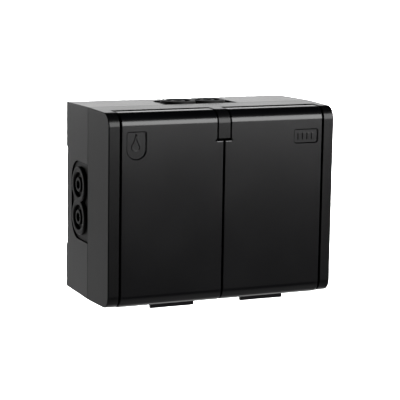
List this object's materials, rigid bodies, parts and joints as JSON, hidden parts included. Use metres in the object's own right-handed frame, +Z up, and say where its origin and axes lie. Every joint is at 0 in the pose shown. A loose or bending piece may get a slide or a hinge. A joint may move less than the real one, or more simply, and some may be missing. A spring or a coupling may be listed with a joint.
{
  "type": "outdoor weatherproof double socket",
  "caption": "Surface-mounted two-gang outdoor socket in black plastic with two self-closing lids hinged at the top and pierceable cable entries",
  "frame": {"origin": "centre of the flat back face that goes on the wall", "axes": "+Y into the wall, +Z up, +X to the right of somebody facing the box"},
  "size_m": [0.114, 0.054, 0.0907],
  "materials": {
    "housing_plastic": "fine spark texture, near-black grey",
    "lid_plastic": "satin, near black",
    "entry_rubber": "soft, matt black",
    "seal_rubber": "soft, matt dark grey",
    "well_plastic": "satin, near black",
    "carrier_plastic": "matt cream thermoset",
    "contact_brass": "bare stamped brass",
    "spring_steel": "bright spring steel",
    "screw_steel": "zinc plated"
  },
  "bodies": {
    "housing": {"base_box": "housing_plastic", "cover_frame": "housing_plastic", "cover_gasket": "seal_rubber", "cover_screws": "screw_steel", "entry_left": "entry_rubber", "entry_right": "entry_rubber", "entry_top": "entry_rubber", "socket_pot_left": "well_plastic", "socket_pot_right": "well_plastic", "contact_carrier_left": "carrier_plastic", "contact_carrier_right": "carrier_plastic", "line_contact_left": "contact_brass", "line_contact_right": "contact_brass", "neutral_contact_left": "contact_brass", "neutral_contact_right": "contact_brass", "earth_clip_left": "spring_steel", "earth_clip_right": "spring_steel", "pot_screw_left": "screw_steel", "pot_screw_right": "screw_steel", "terminal_screws": "screw_steel", "link_line": "contact_brass", "link_neutral": "contact_brass", "link_earth": "contact_brass", "hinge_pin_left": "screw_steel", "hinge_pin_right": "screw_steel", "lid_spring_left": "spring_steel", "lid_spring_right": "spring_steel"},
    "lid_left_body": {"lid_left": "lid_plastic", "lid_seal_left": "seal_rubber"},
    "lid_right_body": {"lid_right": "lid_plastic", "lid_seal_right": "seal_rubber"}
  },
  "joints": [
    {"name": "lid_left_hinge", "type": "hinge", "parent": "housing", "child": "lid_left_body", "pos_m": [-0.02495, -0.047, 0.0385], "axis": [-1, 0, 0], "range_deg": [0, 105], "stiffness_Nm_per_rad": 0.008, "springref_deg": -91.67, "deforming": ["lid_spring_left"]},
    {"name": "lid_right_hinge", "type": "hinge", "parent": "housing", "child": "lid_right_body", "pos_m": [0.02495, -0.047, 0.0385], "axis": [-1, 0, 0], "range_deg": [0, 105], "stiffness_Nm_per_rad": 0.008, "springref_deg": -91.67, "deforming": ["lid_spring_right"]}
  ]
}
